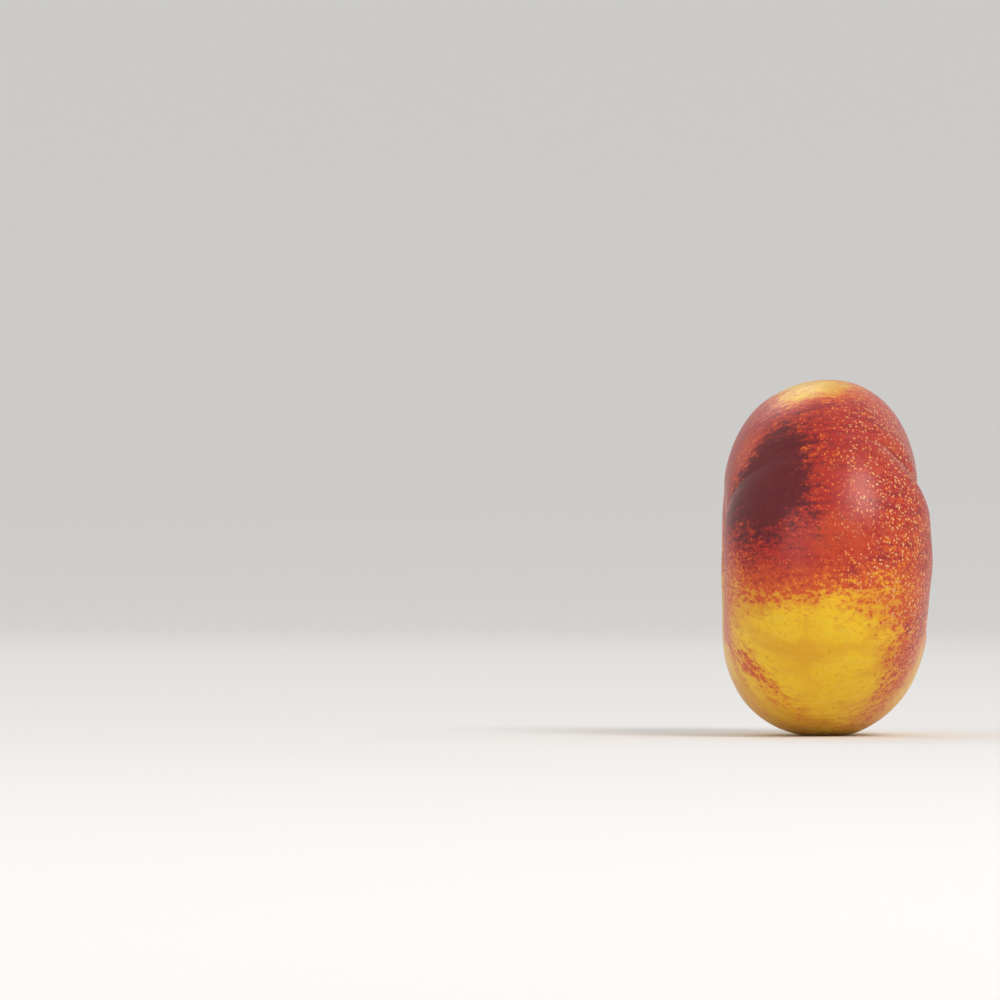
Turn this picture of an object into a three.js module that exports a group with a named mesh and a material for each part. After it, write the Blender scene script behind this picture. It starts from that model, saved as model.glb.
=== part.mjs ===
// A whole flat nectarine, the saucer-shaped kind, standing on its rim. Millimetres, +Z up.
//
// The fruit's own axis lies along X. The cavity that the stalk grew in looks towards +X, and the
// basin with the dry scar of the flower looks towards -X. The origin is on the surface that the
// fruit stands on, under the middle of the fruit.
//
// Every point of the skin has two angles. "around" turns about the axis: 0 faces -Y and a quarter
// turn faces up. "latitude" is 0 on the rim, +90 degrees at the stalk and -90 at the flower scar.

import * as THREE from "three";

const { degToRad, lerp, smoothstep } = THREE.MathUtils;
const QUARTER_TURN = Math.PI / 2;

// Rim: radius from the axis upwards and downwards, and towards the front and the back.
const RIM_RADIUS_UPRIGHT = 37.8;
const RIM_RADIUS_LEVEL = 37.5;

// Height of the axis. It is a little less than the radius, which leaves the small flat spot.
const AXIS_HEIGHT = 37.3;

// Half thickness on each side of the rim, before the cavity and the basin are taken away, and how
// square the section is: 0 is an ellipse, and more fills out the shoulders.
const STALK_SIDE = 21.1;
const FLOWER_SIDE = 23.7;
const FULLNESS = 0.41;

// The rim's plane lies this far towards the stalk from the middle of the fruit.
const RIM_PLANE = 0.85;

// How far the rim leans towards the flower side, at the bottom and at the top.
const RIM_LEAN_BOTTOM = 1.2;
const RIM_LEAN_TOP = 0.1;

// The stalk cavity and the flower basin: depth, and the radius that sets how wide they open.
const CAVITY_DEPTH = 12;
const CAVITY_SPREAD = 9;
const BASIN_DEPTH = 6.5;
const BASIN_SPREAD = 10;

// The suture is the groove from the stalk over the rim to the flower scar. It crosses the rim at
// SUTURE_ANGLE and runs a little askew. It is shallow on the rim and reaches its full depth past the
// shoulders. The lobe below it stands higher than the lobe above it.
const SUTURE_ANGLE = degToRad(43);
const SUTURE_SKEW = degToRad(6);
const SUTURE_SKEW_REACH = degToRad(30);
const SUTURE_WIDTH = 3.2;
const SUTURE_DEPTH_RIM = 0.3;
const SUTURE_DEPTH_STALK = 2.8;
const SUTURE_DEPTH_FLOWER = 0.45;
const SHOULDER_START = degToRad(14);
const SHOULDER_END = degToRad(50);
const LOBE_STEP = 1.6;
const LOBE_STEP_FLOWER = 0.15;
const LOBE_ROUNDING = degToRad(11);

// Soft ribs that run into the stalk cavity, two sets that don't fall together, and slow swellings of
// the whole skin.
const RIB_COUNT = 5;
const RIB_COUNT_MINOR = 8;
const RIB_SHIFT = degToRad(57);
const RIB_HEIGHT = 0.4;
const RIB_RADIUS = 13;
const RIB_REACH = 6;
const SWELLING = 0.3;

// Scar of the stalk: a low ring of dry tissue round a pit.
const SCAR_RADIUS = 2.4;
const SCAR_RING = 0.5;
const SCAR_PIT = 0.7;

// The flesh is thickest on a ring of this radius. Grooves, ribs and swellings move the skin from it
// or towards it, and fade out near the axis.
const FLESH_RING_RADIUS = 17;
const FADE_RADIUS = 6;

// Faces around the axis, and from one end of the axis to the other.
const STEPS_AROUND = 72;
const STEPS_ALONG = 44;
const EVEN_SHARE = 0.65;

function bell(distance, reach) {
  return Math.exp(-((distance / reach) ** 2));
}

// Angle past the suture, from -180 to 180 degrees: positive on the upper lobe.
function pastSuture(around, latitude) {
  const suture = SUTURE_ANGLE + SUTURE_SKEW * Math.tanh(latitude / SUTURE_SKEW_REACH);
  const turn = around - suture;
  return Math.atan2(Math.sin(turn), Math.cos(turn));
}

// -1 just above the suture, rising evenly around the fruit to +1 just below it.
function lobeHeight(past) {
  const saw = past / Math.PI - Math.sign(past);
  return saw * (1 - bell(past, LOBE_ROUNDING));
}

function rimRadius(around) {
  return lerp(RIM_RADIUS_UPRIGHT, RIM_RADIUS_LEVEL, Math.cos(around) ** 2);
}

// Distance of the skin from the rim's plane, along the axis, at a radius from that axis.
function axialDistance(around, latitude, radius) {
  const onStalkSide = latitude > 0;
  const depth = onStalkSide ? CAVITY_DEPTH : BASIN_DEPTH;
  const hollow = bell(radius, onStalkSide ? CAVITY_SPREAD : BASIN_SPREAD);
  const lobes = onStalkSide ? LOBE_STEP : LOBE_STEP_FLOWER;
  const half = (onStalkSide ? STALK_SIDE : FLOWER_SIDE)
    + lobes * lobeHeight(pastSuture(around, latitude)) * (1 - hollow);
  const fullness = (1 + Math.cos(latitude) ** 2) ** FULLNESS;
  return half * Math.sin(Math.abs(latitude)) * fullness - depth * hollow;
}

function stalkScar(radius) {
  const ring = SCAR_RING * bell(radius - SCAR_RADIUS, SCAR_RADIUS / 3);
  return ring - SCAR_PIT * bell(radius, SCAR_RADIUS / 2);
}

function sutureDepth(around, latitude, radius) {
  const across = radius * pastSuture(around, latitude);
  const ends = latitude > 0 ? SUTURE_DEPTH_STALK : SUTURE_DEPTH_FLOWER;
  const shoulder = smoothstep(Math.abs(latitude), SHOULDER_START, SHOULDER_END);
  return lerp(SUTURE_DEPTH_RIM, ends, shoulder) / (1 + (across / SUTURE_WIDTH) ** 2) ** 1.5;
}

function ribHeight(around, latitude, radius) {
  const ribs = Math.cos(RIB_COUNT * around + RIB_SHIFT) + 0.5 * Math.cos(RIB_COUNT_MINOR * around);
  return latitude > 0 ? RIB_HEIGHT * ribs * bell(radius - RIB_RADIUS, RIB_REACH) : 0;
}

function slowWave(around, latitude) {
  const waves = Math.cos(2 * around + 3 * latitude) + Math.sin(3 * around - 2 * latitude);
  return waves * Math.cos(latitude) ** 2;
}

function skinPoint(around, latitude) {
  const radius = rimRadius(around) * Math.cos(latitude);
  const side = Math.sign(latitude);
  const lean = lerp(RIM_LEAN_BOTTOM, RIM_LEAN_TOP, (1 + Math.sin(around)) / 2);
  const scar = latitude > 0 ? stalkScar(radius) : 0;
  const skin = new THREE.Vector2(
    side * (axialDistance(around, latitude, radius) + scar) - lean * Math.cos(latitude) ** 2,
    radius,
  );
  const inwards = new THREE.Vector2(0, FLESH_RING_RADIUS).sub(skin).normalize();
  const sink = sutureDepth(around, latitude, radius)
    - ribHeight(around, latitude, radius)
    + SWELLING * slowWave(around, latitude);
  skin.addScaledVector(inwards, sink * (1 - bell(radius, FADE_RADIUS)));
  return [
    RIM_PLANE + skin.x,
    -skin.y * Math.cos(around),
    Math.max(AXIS_HEIGHT + skin.y * Math.sin(around), 0),
  ];
}

// Steps lie closer together towards the two ends of the axis, where the skin turns in.
function latitudeOf(step) {
  const along = 1 - (2 * step) / STEPS_ALONG;
  return QUARTER_TURN * (EVEN_SHARE * along + (1 - EVEN_SHARE) * Math.sin(QUARTER_TURN * along));
}

function skinGeometry() {
  const positions = [];
  for (let row = 1; row < STEPS_ALONG; row += 1) {
    for (let column = 0; column < STEPS_AROUND; column += 1) {
      positions.push(...skinPoint((2 * Math.PI * column) / STEPS_AROUND, latitudeOf(row)));
    }
  }
  const stalkPole = (STEPS_ALONG - 1) * STEPS_AROUND;
  const flowerPole = stalkPole + 1;
  positions.push(...skinPoint(0, QUARTER_TURN), ...skinPoint(0, -QUARTER_TURN));

  const faces = [];
  for (let column = 0; column < STEPS_AROUND; column += 1) {
    const next = (column + 1) % STEPS_AROUND;
    const lastRow = (STEPS_ALONG - 2) * STEPS_AROUND;
    faces.push(stalkPole, next, column);
    faces.push(flowerPole, lastRow + column, lastRow + next);
    for (let row = 0; row < STEPS_ALONG - 2; row += 1) {
      const here = row * STEPS_AROUND;
      const below = here + STEPS_AROUND;
      faces.push(here + column, here + next, below + next);
      faces.push(here + column, below + next, below + column);
    }
  }

  const geometry = new THREE.BufferGeometry();
  geometry.setAttribute("position", new THREE.Float32BufferAttribute(positions, 3));
  geometry.setIndex(faces);
  geometry.computeVertexNormals();
  return geometry;
}

const skin = new THREE.MeshStandardMaterial({
  color: 0xc25a28,
  roughness: 0.4,
  metalness: 0,
});

const nectarine = new THREE.Mesh(skinGeometry(), skin);
nectarine.name = "nectarine";

const fruit = new THREE.Group();
fruit.add(nectarine);

export default fruit;
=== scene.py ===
import math

import bpy
import numpy as np
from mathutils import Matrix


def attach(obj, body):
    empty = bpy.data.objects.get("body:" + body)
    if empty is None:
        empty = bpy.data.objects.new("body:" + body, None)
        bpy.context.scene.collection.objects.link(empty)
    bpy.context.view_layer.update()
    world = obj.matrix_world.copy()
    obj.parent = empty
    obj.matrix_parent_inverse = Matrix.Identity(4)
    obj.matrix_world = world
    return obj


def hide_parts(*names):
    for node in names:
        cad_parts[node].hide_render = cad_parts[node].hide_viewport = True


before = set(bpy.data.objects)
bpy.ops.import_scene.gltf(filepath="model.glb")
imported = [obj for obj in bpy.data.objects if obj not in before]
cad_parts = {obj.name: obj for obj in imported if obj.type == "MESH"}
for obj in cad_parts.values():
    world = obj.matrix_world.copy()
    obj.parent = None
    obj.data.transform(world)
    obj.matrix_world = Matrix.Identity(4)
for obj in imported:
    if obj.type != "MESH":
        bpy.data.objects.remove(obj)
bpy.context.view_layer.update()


# Camera
# A long lens, level and square to the rim of the fruit. It looks past the fruit's left side, so the
# fruit stands right of the middle and below it, as large as in the photograph.
PHOTO_WIDTH = 1000
METRES_PER_PIXEL = 0.0002129
FOOT_IN_PHOTO = (825.6, 735.2)
CAMERA_DISTANCE = 2.4
SENSOR_WIDTH = 36

eye = bpy.data.cameras.new("camera")
eye.sensor_width = SENSOR_WIDTH
eye.lens = SENSOR_WIDTH * CAMERA_DISTANCE / (PHOTO_WIDTH * METRES_PER_PIXEL)
camera = bpy.data.objects.new("camera", eye)
camera.location = (
    (PHOTO_WIDTH / 2 - FOOT_IN_PHOTO[0]) * METRES_PER_PIXEL,
    -CAMERA_DISTANCE,
    (FOOT_IN_PHOTO[1] - PHOTO_WIDTH / 2) * METRES_PER_PIXEL,
)
camera.rotation_euler = (math.radians(90), 0, 0)
bpy.context.scene.collection.objects.link(camera)
bpy.context.scene.camera = camera


# Shape of the nectarine
# The whole fruit in one piece: a saucer of flesh that stands on its rim, hollowed at the stalk (+X)
# and at the flower end (-X), with the suture folded into it. It grew, so its forms run into each
# other. Every value from RIM_RADIUS_UPRIGHT to FADE_RADIUS is the solid's own.
MM = 0.001
RIM_RADIUS_UPRIGHT = 37.8 * MM
RIM_RADIUS_LEVEL = 37.5 * MM
AXIS_HEIGHT = 37.3 * MM
STALK_SIDE = 21.1 * MM
FLOWER_SIDE = 23.7 * MM
FULLNESS = 0.41
RIM_PLANE = 0.85 * MM
RIM_LEAN_BOTTOM = 1.2 * MM
RIM_LEAN_TOP = 0.1 * MM
CAVITY_DEPTH = 12 * MM
CAVITY_SPREAD = 9 * MM
BASIN_DEPTH = 6.5 * MM
BASIN_SPREAD = 10 * MM
SUTURE_ANGLE = math.radians(43)
SUTURE_SKEW = math.radians(6)
SUTURE_SKEW_REACH = math.radians(30)
SUTURE_WIDTH = 3.2 * MM
SUTURE_DEPTH_RIM = 0.3 * MM
SUTURE_DEPTH_STALK = 2.8 * MM
SUTURE_DEPTH_FLOWER = 0.45 * MM
SHOULDER_START = math.radians(14)
SHOULDER_END = math.radians(50)
LOBE_STEP = 1.6 * MM
LOBE_STEP_FLOWER = 0.15 * MM
LOBE_ROUNDING = math.radians(11)
RIB_COUNT = 5
RIB_COUNT_MINOR = 8
RIB_SHIFT = math.radians(57)
RIB_HEIGHT = 0.4 * MM
RIB_RADIUS = 13 * MM
RIB_REACH = 6 * MM
SWELLING = 0.3 * MM
SCAR_RADIUS = 2.4 * MM
SCAR_RING = 0.5 * MM
SCAR_PIT = 0.7 * MM
FLESH_RING_RADIUS = 17 * MM
FADE_RADIUS = 6 * MM

# Relief that only the finished skin has: the crease in the suture, folds round the stalk scar, slow
# dents, crumbled cork at both scars and the stub of the flower.
CREASE_WIDTH = 0.55 * MM
CREASE_DEPTH = 0.4 * MM
CREASE_ON_RIM = 0.25
CREASE_AT_FLOWER = 0.15
WRINKLES = 31
WRINKLE_WANDER = 2
WRINKLE_WANDERINGS = 5
WRINKLE_HEIGHT = 0.16 * MM
WRINKLE_RADIUS = 4.6 * MM
RELIEF_WAVES = 26
DENT_HEIGHT = 0.035 * MM
DENT_SIZES = (7 * MM, 16 * MM)
STUB_RADIUS = 1.1 * MM
STUB_HEIGHT = 1.3 * MM
CORK_RADIUS = 3.4 * MM
CORK_HEIGHT = 0.22 * MM
CORK_SIZES = (0.7 * MM, 2 * MM)

# Faces: the rows run round the axis, start at the suture and lie closer together beside it.
STEPS_AROUND = 420
STEPS_ALONG = 220
EVEN_SHARE = 0.65
SUTURE_SHARE = 0.4


def bell(distance, reach):
    return np.exp(-((distance / reach) ** 2))


def blend(low, high, share):
    return low + (high - low) * share


def ease(value, start, end):
    share = np.clip((value - start) / (end - start), 0, 1)
    return share * share * (3 - 2 * share)


def suture_turn(latitude):
    return SUTURE_ANGLE + SUTURE_SKEW * np.tanh(latitude / SUTURE_SKEW_REACH)


def past_suture(around, latitude):
    turn = around - suture_turn(latitude)
    return np.arctan2(np.sin(turn), np.cos(turn))


def shoulder(latitude):
    return ease(np.abs(latitude), SHOULDER_START, SHOULDER_END)


def waves(points, count, sizes, seed):
    """A smooth random field of about unit height, from plane waves of the given lengths."""
    draw = np.random.default_rng(seed)
    total = np.zeros(points.shape[:-1])
    for _ in range(count):
        heading = draw.normal(size=3)
        heading /= np.linalg.norm(heading)
        length = draw.uniform(*sizes)
        total += np.sin(points @ heading * 2 * math.pi / length + draw.uniform(0, 2 * math.pi))
    return total / math.sqrt(count / 2)


def skin_points(around, latitude):
    """Points of the skin, as the solid has them, and how far each lies from the fruit's axis."""
    stalk_half = latitude > 0
    radius = blend(RIM_RADIUS_UPRIGHT, RIM_RADIUS_LEVEL, np.cos(around) ** 2) * np.cos(latitude)
    past = past_suture(around, latitude)

    hollow = np.where(stalk_half, bell(radius, CAVITY_SPREAD), bell(radius, BASIN_SPREAD))
    lobe = (past / math.pi - np.sign(past)) * (1 - bell(past, LOBE_ROUNDING))
    half = np.where(stalk_half, STALK_SIDE, FLOWER_SIDE)
    half = half + np.where(stalk_half, LOBE_STEP, LOBE_STEP_FLOWER) * lobe * (1 - hollow)
    axial = half * np.sin(np.abs(latitude)) * (1 + np.cos(latitude) ** 2) ** FULLNESS
    axial -= np.where(stalk_half, CAVITY_DEPTH, BASIN_DEPTH) * hollow
    ring = SCAR_RING * bell(radius - SCAR_RADIUS, SCAR_RADIUS / 3)
    axial += np.where(stalk_half, ring - SCAR_PIT * bell(radius, SCAR_RADIUS / 2), 0)
    lean = blend(RIM_LEAN_BOTTOM, RIM_LEAN_TOP, (1 + np.sin(around)) / 2)
    x = np.sign(latitude) * axial - lean * np.cos(latitude) ** 2

    ends = np.where(stalk_half, SUTURE_DEPTH_STALK, SUTURE_DEPTH_FLOWER)
    groove = blend(SUTURE_DEPTH_RIM, ends, shoulder(latitude))
    groove /= (1 + (radius * past / SUTURE_WIDTH) ** 2) ** 1.5
    ribs = np.cos(RIB_COUNT * around + RIB_SHIFT) + 0.5 * np.cos(RIB_COUNT_MINOR * around)
    ribs = np.where(stalk_half, RIB_HEIGHT * ribs * bell(radius - RIB_RADIUS, RIB_REACH), 0)
    slow = np.cos(2 * around + 3 * latitude) + np.sin(3 * around - 2 * latitude)
    sink = groove - ribs + SWELLING * slow * np.cos(latitude) ** 2
    sink *= 1 - bell(radius, FADE_RADIUS)
    to_ring = np.stack([-x, FLESH_RING_RADIUS - radius])
    to_ring /= np.linalg.norm(to_ring, axis=0)
    x = RIM_PLANE + x + to_ring[0] * sink
    radius = radius + to_ring[1] * sink
    points = np.stack([x, -radius * np.cos(around), AXIS_HEIGHT + radius * np.sin(around)], axis=-1)
    return points, radius


def fine_relief(points, around, latitude, radius):
    """Height of what the skin has besides: the crease, the folds at the stalk and the dry scar."""
    crease = CREASE_DEPTH * blend(CREASE_ON_RIM, 1, shoulder(latitude))
    crease *= bell(radius * past_suture(around, latitude), CREASE_WIDTH)
    crease *= blend(CREASE_AT_FLOWER, 1, ease(latitude, -SHOULDER_START, SHOULDER_START))
    crease *= 1 - bell(radius, FADE_RADIUS)
    wander = WRINKLE_WANDER * np.sin(WRINKLE_WANDERINGS * around)
    folds = WRINKLE_HEIGHT * np.cos(WRINKLES * around + wander) * (latitude > 0)
    folds *= bell(radius - WRINKLE_RADIUS, WRINKLE_RADIUS / 2)
    dents = DENT_HEIGHT * waves(points, RELIEF_WAVES, DENT_SIZES, seed=4)
    cork = CORK_HEIGHT * waves(points, RELIEF_WAVES, CORK_SIZES, seed=7)
    cork *= bell(radius, CORK_RADIUS)
    stub = STUB_HEIGHT * bell(radius, STUB_RADIUS)
    return folds + dents - crease + np.where(latitude < 0, cork + stub, cork / 2)


along = 1 - 2 * np.arange(1, STEPS_ALONG) / STEPS_ALONG
latitudes = math.pi / 2 * (EVEN_SHARE * along + (1 - EVEN_SHARE) * np.sin(math.pi / 2 * along))
across = 1 - 2 * np.arange(STEPS_AROUND) / STEPS_AROUND
turns = -math.pi * (SUTURE_SHARE * across + (1 - SUTURE_SHARE) * across ** 3)
latitude, turn = np.meshgrid(latitudes, turns, indexing="ij")
latitude = np.concatenate([latitude.ravel(), [math.pi / 2, -math.pi / 2]])
around = np.concatenate([turn.ravel(), [0, 0]]) + suture_turn(latitude)
points, radius = skin_points(around, latitude)

rows = np.arange(STEPS_ALONG - 2)[:, None] * STEPS_AROUND
columns = np.arange(STEPS_AROUND)
following = (columns + 1) % STEPS_AROUND
quads = np.stack(np.broadcast_arrays(
    rows + columns,
    rows + following,
    rows + STEPS_AROUND + following,
    rows + STEPS_AROUND + columns,
), axis=-1).reshape(-1, 4)
stalk_pole = len(points) - 2
flower_pole = len(points) - 1
last_row = (STEPS_ALONG - 2) * STEPS_AROUND
faces = quads.tolist()
for column, after in zip(columns.tolist(), following.tolist()):
    faces.append((stalk_pole, after, column))
    faces.append((flower_pole, last_row + column, last_row + after))

mesh = bpy.data.meshes.new("nectarine_skin")
mesh.from_pydata(points.tolist(), [], faces)
normals = np.zeros(len(points) * 3)
mesh.vertex_normals.foreach_get("vector", normals)
points += normals.reshape(-1, 3) * fine_relief(points, around, latitude, radius)[:, None]
points[:, 2] = np.maximum(points[:, 2], 0)
mesh.vertices.foreach_set("co", points.ravel())
mesh.polygons.foreach_set("use_smooth", np.ones(len(mesh.polygons), dtype=bool))
mesh.update()
nectarine = bpy.data.objects.new("nectarine_skin", mesh)
bpy.context.scene.collection.objects.link(nectarine)


# Where the sun has coloured the nectarine
# The ground colour is golden. Blush lies over it where the fruit hung in the sun: thin and grainy
# at its edge, solid red further in, and nearly black where it is darkest. Painted shade darkens it
# further beside the neighbouring fruit and in the crease. It grew unevenly, so patches add to it
# and take from it.

# The way to the sun, and how far towards it, in rim radii, the blush is half as strong as it gets.
SUN = np.array([0.12, 0.12, 0.985])
BLUSH_EDGE = -0.322
BLUSH_GAIN = 2.4
BLUSH_LIMITS = (-0.2, 1.15)

# Each patch: degrees around, degrees of latitude, reach in millimetres and strength.
BLUSH_PATCHES = (
    # The golden crown, and a paler band behind it.
    (83, -13, 8, -1.1),
    (78, 2, 6, -0.6),
    (80, 12, 7, -0.4),
    (69, -14, 4.5, -0.6),
    (69, -1, 4.5, -0.6),
    (100, -18, 8, -0.8),
    (114, -8, 8, -0.8),
    (127, 3, 8, -0.7),
    (140, -12, 9, -0.5),
    # The shoulder on the flower side.
    (54, -39, 5, -0.35),
    (2, -24, 9, 0.3),
    (-20, -44, 8, -0.3),
    # The narrow streak low down on that side, and the blush round it.
    (-41, -35, 4, 0.36),
    (-46, -28, 4, 0.42),
    (-51, -20, 4, 0.42),
    (-57, -11, 3.6, 0.4),
    # The three wider patches next make the lower left edge orange-brown: partly blush, partly
    # painted shade.
    (-46, -34, 9, 0.22),
    (-48, -48, 8, 0.3),
    (-38, -58, 7, 0.3),
    # The foot.
    (-78, -8, 10, 0.12),
    (-78, 12, 10, 0.3),
    # The shoulder on the stalk side.
    (-33, 42, 10, 0.5),
    (-48, 32, 8, 0.5),
    (0, 36, 10, -0.3),
    (-15, 30, 8, -0.2),
    (-62, 24, 8, 0.4),
    # The clear golden belly.
    (-26, -14, 12, -0.35),
    (-36, 4, 12, -0.35),
    # The back.
    (130, 50, 12, -0.7),
    (175, -42, 13, -0.8),
)
CHEEK_AND_SHADE_PATCHES = (
    # The dark cheek, maroon and partly painted shade of the next fruit, with one lighter spot.
    (48, -18, 9, 0.58),
    (36, -27, 9, 0.6),
    (26, -40, 10, 0.55),
    (32, -60, 10, 0.3),
    (24, -19, 8, 0.5),
    (12, -33, 8, 0.25),
    (6, -25, 8, 0.2),
    (13, -6, 7, 0.2),
    (54, -39, 5, -0.5),
    # Above the cheek, and on the back.
    (82, -48, 13, 0.3),
    (175, 12, 14, 0.5),
    (110, 35, 10, 0.4),
)

# Depth along Y at which the side that the photograph doesn't show sets in, and its slow drift.
HIDDEN_FROM = -12 * MM
HIDDEN_FULL = 10 * MM
DRIFT = 0.3
DRIFT_COUNT = 14
DRIFT_SIZES = (32 * MM, 70 * MM)

# Painted shade lies in the crease, darkest past the shoulder on the stalk side. The cavity is
# paler, and greenish.
CREASE_SHADE_DARKEST = math.radians(40)
CREASE_SHADE_REACH = math.radians(18)
PALE_CAVITY = 5.5 * MM
GREEN_CAVITY = 11 * MM

# The two scars are ragged discs of cork, and the flower's has a ring of russet round it. Each set
# of lobes in a scar's edge: how many, and the angle that it starts at.
STALK_SCAR = 3.9 * MM
FLOWER_SCAR = 2.6 * MM
SCAR_RAGGED = 0.07
SCAR_LOBES = ((3, 1), (7, 0), (17, 0))
PIT_RADIUS = 1.5 * MM
RUSSET_RADIUS = 2.3 * MM
RUSSET_REACH = 1.8 * MM

# Pale pores show on the stalk side, from SPECKLES_FROM along X, and fewer of them in the cavity.
SPECKLES_FROM = -4 * MM
SPECKLES_FULL = 15 * MM
SPECKLE_DRIFT = 0.22
CAVITY_SPECKLES = 0.45
SHOULDER_RADIUS = 26 * MM


def patches(listed):
    total = np.zeros(len(points))
    for turn, rise, reach, strength in listed:
        centre, _ = skin_points(np.radians([turn]), np.radians([rise]))
        total += strength * bell(np.linalg.norm(points - centre, axis=1), reach * MM)
    return total


on_stalk_half = latitude > 0
height = (points - (RIM_PLANE, 0, AXIS_HEIGHT)) @ SUN / RIM_RADIUS_UPRIGHT
hidden = ease(points[:, 1], HIDDEN_FROM, HIDDEN_FULL)
blush = np.clip(0.5 + BLUSH_GAIN * (height - BLUSH_EDGE), *BLUSH_LIMITS)
blush += patches(BLUSH_PATCHES)
blush += DRIFT * hidden * waves(points, DRIFT_COUNT, DRIFT_SIZES, seed=11)
blush -= bell(radius, PALE_CAVITY)
lobes = sum(np.sin(count * around + start) for count, start in SCAR_LOBES)
ragged = radius * (1 + SCAR_RAGGED * lobes)
scar = ease(ragged, np.where(on_stalk_half, STALK_SCAR, FLOWER_SCAR), 0)
# The crease's dark line is painted shade.
crease = bell(radius * past_suture(around, latitude), CREASE_WIDTH)
crease *= bell(latitude - CREASE_SHADE_DARKEST, CREASE_SHADE_REACH)
speckled = ease(points[:, 0], SPECKLES_FROM, SPECKLES_FULL)
speckled *= blend(CAVITY_SPECKLES, 1, ease(radius, PALE_CAVITY, SHOULDER_RADIUS))
speckled *= 1 + SPECKLE_DRIFT * waves(points, DRIFT_COUNT, DENT_SIZES, seed=23)

# Streaks follow "flow", in metres: its first number runs from the stalk to the flower end over the
# ring of flesh, and the other two turn with the angle around the axis.
around_ring = np.arctan2(points[:, 0] - RIM_PLANE, radius - FLESH_RING_RADIUS)
flow = np.stack([
    around_ring * (RIM_RADIUS_UPRIGHT - FLESH_RING_RADIUS),
    -np.cos(around) * RIM_RADIUS_UPRIGHT,
    np.sin(around) * RIM_RADIUS_UPRIGHT,
], axis=1)
for name, values in {
    "blush": blush,
    "cheek_and_shade": patches(CHEEK_AND_SHADE_PATCHES),
    "speckled": speckled,
    "green": bell(radius, GREEN_CAVITY) * on_stalk_half,
    "crease": crease,
    "russet": bell(radius - RUSSET_RADIUS, RUSSET_REACH) * ~on_stalk_half,
    "scar": scar,
    "pit": bell(ragged, PIT_RADIUS),
}.items():
    mesh.attributes.new(name, "FLOAT", "POINT").data.foreach_set("value", values)
mesh.attributes.new("flow", "FLOAT_VECTOR", "POINT").data.foreach_set("vector", flow.ravel())


# Skin of the nectarine
# Hairless fruit skin under a thin natural wax. It shines softly, lets a little light into the flesh
# and carries its colour in grains and streaks that run from the stalk to the flower end.
def colour(text):
    """An sRGB hex value as linear red, green, blue and alpha."""
    parts = [int(text[i:i + 2], 16) / 255 for i in (1, 3, 5)]
    return [p / 12.92 if p <= 0.04045 else ((p + 0.055) / 1.055) ** 2.4 for p in parts] + [1]


def add_node(tree, kind, settings=None, links=None):
    """Adds a node. links holds its inputs by name or number: values or other nodes' outputs."""
    made = tree.nodes.new(kind)
    for name, value in (settings or {}).items():
        setattr(made, name, value)
    for socket, value in (links or {}).items():
        if isinstance(value, bpy.types.NodeSocket):
            tree.links.new(value, made.inputs[socket])
        else:
            made.inputs[socket].default_value = value
    return made


# The ground, the blush from thin to solid, the dark cheek and painted shade, the pores, and the
# cork of the scars.
GOLD = "#ECBE18"
GOLD_DEEP = "#DE9F16"
GOLD_PALE = "#E8C83E"
GREEN_GOLD = "#B9A63E"
ORANGE = "#D9761C"
RED_ORANGE = "#CB481B"
RED = "#AC241C"
ROSE = "#BC4740"
CRIMSON = "#8A181D"
MAROON = "#520E18"
TAN = "#DCAA76"
CORK = "#8A6440"
CORK_PALE = "#B8925F"
CORK_DARK = "#3A281A"

waxed_skin = bpy.data.materials.new("waxed_nectarine_skin")
waxed_skin.use_nodes = True
tree = waxed_skin.node_tree
tree.nodes.clear()

blush_map, cheek_and_shade_map, speckled_map, green_map, crease_shade_map, russet_map, scar_map, pit_map = (
    add_node(tree, "ShaderNodeAttribute", {"attribute_name": name}).outputs["Fac"]
    for name in ("blush", "cheek_and_shade", "speckled", "green", "crease", "russet", "scar", "pit")
)
flow_lines = add_node(tree, "ShaderNodeAttribute", {"attribute_name": "flow"}).outputs["Vector"]
place = add_node(tree, "ShaderNodeTexCoord").outputs["Object"]


def grain(length, width, detail, shift, lines=flow_lines):
    """Noise of about 0.5, of grains this long towards the flower end and this wide (mm).

    A shift of its own keeps each noise apart from the others.
    """
    sizes = (1 / (length * MM), 1 / (width * MM), 1 / (width * MM))
    scaled = add_node(tree, "ShaderNodeVectorMath", {"operation": "MULTIPLY_ADD"},
                      {0: lines, 1: sizes, 2: (shift, shift, shift)})
    noise = add_node(tree, "ShaderNodeTexNoise", {}, {
        "Vector": scaled.outputs[0], "Scale": 1, "Detail": detail, "Roughness": 0.6})
    return noise.outputs["Fac"]


def mixture(base, *terms):
    """base plus each (noise, weight), where a noise counts from its mean of 0.5."""
    for noise, weight in terms:
        weighted = add_node(tree, "ShaderNodeMath", {"operation": "MULTIPLY_ADD"},
                            {0: noise, 1: weight, 2: -weight / 2})
        base = add_node(tree, "ShaderNodeMath", {"operation": "ADD"},
                        {0: base, 1: weighted.outputs[0]}).outputs[0]
    return base


def coat(under, over, amount, start, end, strength):
    """Lays a colour over another where amount rises from start to end."""
    share = add_node(tree, "ShaderNodeMapRange", {"interpolation_type": "SMOOTHSTEP"}, {
        "Value": amount, "From Min": start, "From Max": end, "To Min": 0, "To Max": strength})
    return add_node(tree, "ShaderNodeMix", {"data_type": "RGBA"},
                    {0: share.outputs[0], 6: under, 7: over}).outputs[2]


# A noise shakes marks out of even rows: its reach in spacings, and its grains to one spacing.
DOT_SHAKE = 1.1
DOT_SHAKE_FINENESS = 1.6


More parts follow.
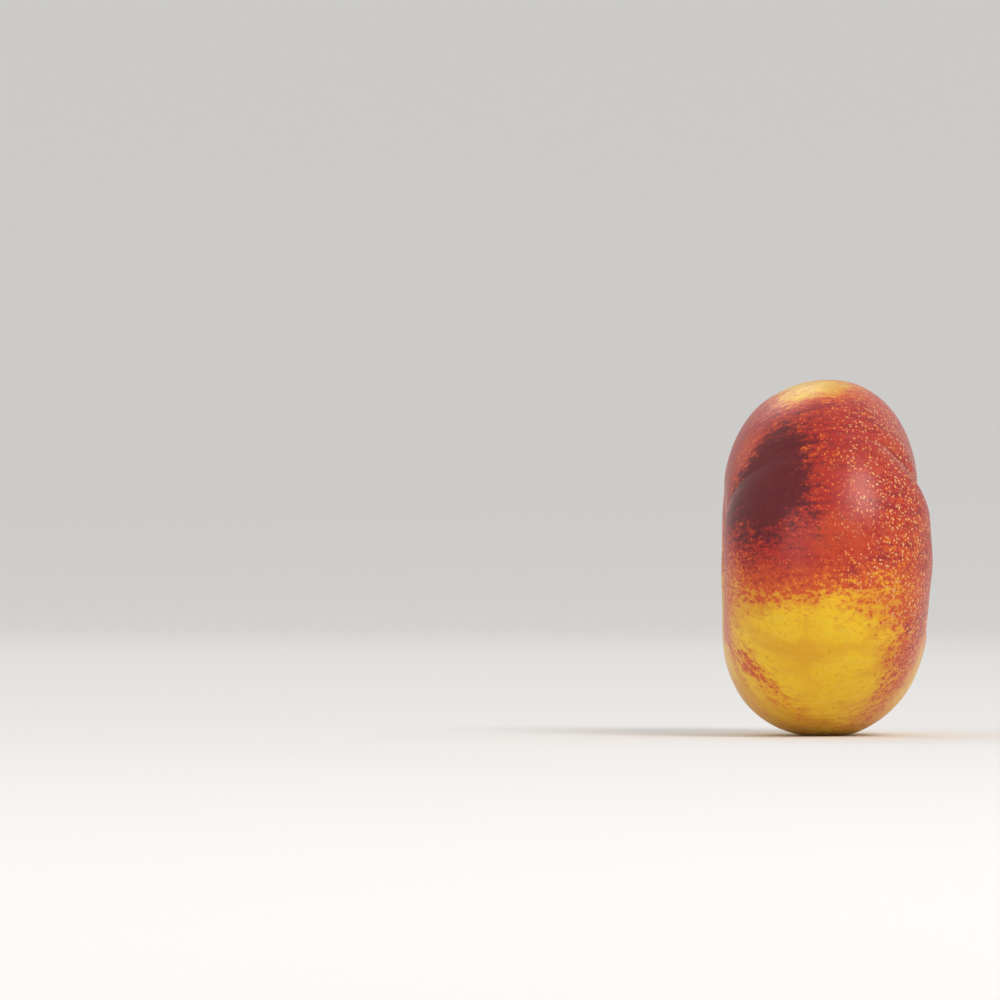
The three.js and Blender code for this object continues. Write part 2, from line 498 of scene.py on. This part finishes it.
def dots(spacing, reach, shift):
    """Marks this far apart (mm): 0 outside and up to 1 in the middle, each its own strength."""
    spread = 1 / (spacing * MM)
    wobble = add_node(tree, "ShaderNodeTexNoise", {}, {
        "Vector": place, "Scale": spread * DOT_SHAKE_FINENESS, "Detail": 1})
    scaled = add_node(tree, "ShaderNodeVectorMath", {"operation": "MULTIPLY_ADD"},
                      {0: place, 1: (spread, spread, spread), 2: (shift, shift, shift)})
    shaken = add_node(tree, "ShaderNodeVectorMath", {"operation": "MULTIPLY_ADD"}, {
        0: wobble.outputs["Color"],
        1: (DOT_SHAKE, DOT_SHAKE, DOT_SHAKE),
        2: scaled.outputs[0],
    })
    cells = add_node(tree, "ShaderNodeTexVoronoi", {}, {"Vector": shaken.outputs[0], "Scale": 1})
    chance = add_node(tree, "ShaderNodeSeparateColor", {}, {"Color": cells.outputs["Color"]})
    return add_node(tree, "ShaderNodeMapRange", {"interpolation_type": "SMOOTHSTEP"}, {
        "Value": cells.outputs["Distance"],
        "From Min": 0,
        "From Max": reach,
        "To Min": chance.outputs["Red"],
        "To Max": 0,
    }).outputs[0]


# Clouds of colour, streaks, mottles and single grains, at the sizes that they have on the fruit.
# The pores of the skin stand 0.7 mm apart, and darker freckles 1.3 mm. Cork breaks into crumbs.
cloud = grain(14, 11, 2, 0)
streak = grain(8, 1.3, 4, 3.1)
mottle = grain(1.7, 1.3, 3, 7.7)
fine = grain(0.7, 0.55, 2, 12.3)
crumb = grain(0.6, 0.6, 4, 5.9, place)
lenticels = dots(0.68, 0.6, 1.7)
freckles = dots(1.3, 0.3, 9.4)

# The blush keeps off the pores by the first amount everywhere, and by the second besides on the
# speckled side.
KEPT_OFF_PORES = 0.9
KEPT_OFF_SPECKLED_PORES = 1.35
redness = mixture(blush_map, (cloud, 0.7), (streak, 0.75), (mottle, 1.6), (fine, 0.8))
keeping_off = add_node(tree, "ShaderNodeMath", {"operation": "MULTIPLY_ADD"},
                       {0: speckled_map, 1: -KEPT_OFF_SPECKLED_PORES, 2: -KEPT_OFF_PORES})
grainy = add_node(tree, "ShaderNodeMath", {"operation": "MULTIPLY_ADD"},
                  {0: lenticels, 1: keeping_off.outputs[0], 2: redness}).outputs[0]

# The golden ground: deeper and paler in places, and greenish in the cavity.
ground = coat(colour(GOLD), colour(GOLD_DEEP), cloud, 0.42, 0.62, 0.85)
ground = coat(ground, colour(GOLD_DEEP), mixture(mottle, (fine, 0.7)), 0.5, 0.66, 0.45)
ground = coat(ground, colour(GOLD_PALE), mixture(streak, (fine, 0.6)), 0.5, 0.68, 0.45)
ground = coat(ground, colour(GREEN_GOLD), green_map, 0.1, 1.0, 0.8)

# The blush: an orange glow, red-orange freckles and grains, then solid red of several shades.
skin = coat(ground, colour(ORANGE), redness, -0.2, 0.6, 0.85)
skin = coat(skin, colour(RED_ORANGE), freckles, 0.15, 0.4, 0.4)
skin = coat(skin, colour(RED_ORANGE), grainy, 0.26, 0.48, 0.9)
red = coat(colour(RED), colour(ROSE), mottle, 0.45, 0.62, speckled_map)
red = coat(red, colour(CRIMSON), mixture(streak, (mottle, 0.8), (fine, 0.5)), 0.48, 0.66, 0.75)
red = coat(red, colour(RED_ORANGE), mixture(cloud, (mottle, 0.6)), 0.5, 0.68, 0.6)
skin = coat(skin, red, grainy, 0.6, 0.95, 0.95)

# The dark cheek, partly painted shade, and painted shade in the crease.
cheek_and_shade_mix = mixture(cheek_and_shade_map, (cloud, 0.6), (streak, 0.6), (mottle, 1.2), (fine, 0.8))
skin = coat(skin, colour(MAROON), cheek_and_shade_mix, 0.3, 0.85, 0.88)
skin = coat(skin, colour(MAROON), crease_shade_map, 0.2, 1.0, 0.55)

# Tan pores, where the speckled side is red, and the russet round the flower scar.
open_pores = add_node(tree, "ShaderNodeMapRange", {}, {
    "Value": redness, "From Min": 0.25, "From Max": 0.65, "To Max": speckled_map})
skin = coat(skin, colour(TAN), lenticels, 0.18, 0.45, open_pores.outputs[0])
skin = coat(skin, colour(TAN), mixture(russet_map, (streak, 1.2), (crumb, 1.3)), 0.55, 0.8, 0.75)

# Cork over the two scars, nearly black in the pit.
cork = coat(colour(CORK), colour(CORK_PALE), crumb, 0.48, 0.56, 0.9)
cork = coat(cork, colour(CORK_DARK), mixture(pit_map, (crumb, 1.1)), 0.35, 0.62, 0.95)
skin = coat(skin, cork, mixture(scar_map, (crumb, 0.7)), 0.3, 0.36, 1)

# The pores are faint pits, 0.05 mm deep at most. Wax makes the skin glossy, and cork has none.
PIT_DEPTH = 0.05 * MM
WAXED_ROUGHNESS = 0.36
CORK_ROUGHNESS = 0.8
pits = add_node(tree, "ShaderNodeBump", {}, {
    "Strength": 0.25,
    "Distance": PIT_DEPTH,
    "Height": mixture(0.0, (lenticels, -0.3), (fine, 0.3)),
})
gloss = add_node(tree, "ShaderNodeMapRange", {}, {
    "Value": mixture(scar_map, (mottle, 0.3)),
    "To Min": WAXED_ROUGHNESS,
    "To Max": CORK_ROUGHNESS,
})
surface = add_node(tree, "ShaderNodeBsdfPrincipled", {"subsurface_method": "RANDOM_WALK"}, {
    "Base Color": skin,
    "Roughness": gloss.outputs[0],
    "IOR": 1.38,
    "Subsurface Weight": 0.12,
    "Subsurface Radius": (1.0, 0.4, 0.2),
    "Subsurface Scale": 1.5 * MM,
    "Coat Weight": 0.14,
    "Coat Roughness": 0.22,
    "Normal": pits.outputs[0],
})
add_node(tree, "ShaderNodeOutputMaterial", {}, {"Surface": surface.outputs[0]})
mesh.materials.append(waxed_skin)

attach(nectarine, "root")
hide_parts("nectarine")


# Studio floor
# Pale matt paper, flat under the fruit and rising in one long sweep on every side, so that no edge
# shows behind the fruit.
FLAT_RADIUS = 1.9
SWEEP_RADIUS = 5.6
SWEEP_HEIGHT = 1.45
SWEEP_RINGS = 24
FLOOR_SIDES = 96
PAPER = "#F0EEEB"

reaches = np.linspace(FLAT_RADIUS, SWEEP_RADIUS, SWEEP_RINGS + 1)
rises = SWEEP_HEIGHT * ((reaches - FLAT_RADIUS) / (SWEEP_RADIUS - FLAT_RADIUS)) ** 2
bearings = 2 * math.pi * np.arange(FLOOR_SIDES) / FLOOR_SIDES
floor_points = [
    (reach * math.cos(bearing), reach * math.sin(bearing), rise)
    for reach, rise in zip(reaches, rises)
    for bearing in bearings
]
floor_faces = [range(FLOOR_SIDES)]
for ring in range(SWEEP_RINGS):
    for side in range(FLOOR_SIDES):
        inner = ring * FLOOR_SIDES
        outer = inner + FLOOR_SIDES
        after = (side + 1) % FLOOR_SIDES
        floor_faces.append((inner + side, outer + side, outer + after, inner + after))
floor_mesh = bpy.data.meshes.new("studio_floor")
floor_mesh.from_pydata(floor_points, [], floor_faces)
floor_mesh.polygons.foreach_set("use_smooth", [True] * len(floor_faces))
paper = bpy.data.materials.new("matt_paper")
paper.use_nodes = True
paper_surface = paper.node_tree.nodes["Principled BSDF"]
paper_surface.inputs["Base Color"].default_value = colour(PAPER)
paper_surface.inputs["Roughness"].default_value = 0.9
floor_mesh.materials.append(paper)
floor = bpy.data.objects.new("studio_floor", floor_mesh)
bpy.context.scene.collection.objects.link(floor)


# Studio light
# Three large soft boxes, the strongest above and in front on the right, and an even white sky.
# Each box: its name, its place and its side in metres, and its power in watts.
SOFT_BOXES = (
    ("key_light", (0.9, -1.2, 1.4), 0.9, 17),
    ("fill_light", (-1.0, -1.6, 0.6), 0.9, 3.5),
    ("back_light", (-0.4, 1.4, 1.3), 0.8, 3),
)
SKY_STRENGTH = 0.66

for name, position, size, power in SOFT_BOXES:
    lamp = bpy.data.lights.new(name, "AREA")
    lamp.size = size
    lamp.energy = power
    holder = bpy.data.objects.new(name, lamp)
    holder.location = position
    aim = np.array([0, 0, AXIS_HEIGHT]) - np.array(position)
    holder.rotation_euler = (
        math.atan2(math.hypot(aim[0], aim[1]), -aim[2]),
        0,
        math.atan2(aim[1], aim[0]) - math.pi / 2,
    )
    bpy.context.scene.collection.objects.link(holder)

sky = bpy.data.worlds.new("studio_sky")
sky.use_nodes = True
sky.node_tree.nodes["Background"].inputs["Color"].default_value = (1, 1, 1, 1)
sky.node_tree.nodes["Background"].inputs["Strength"].default_value = SKY_STRENGTH
bpy.context.scene.world = sky
bpy.context.scene.view_settings.view_transform = "Standard"
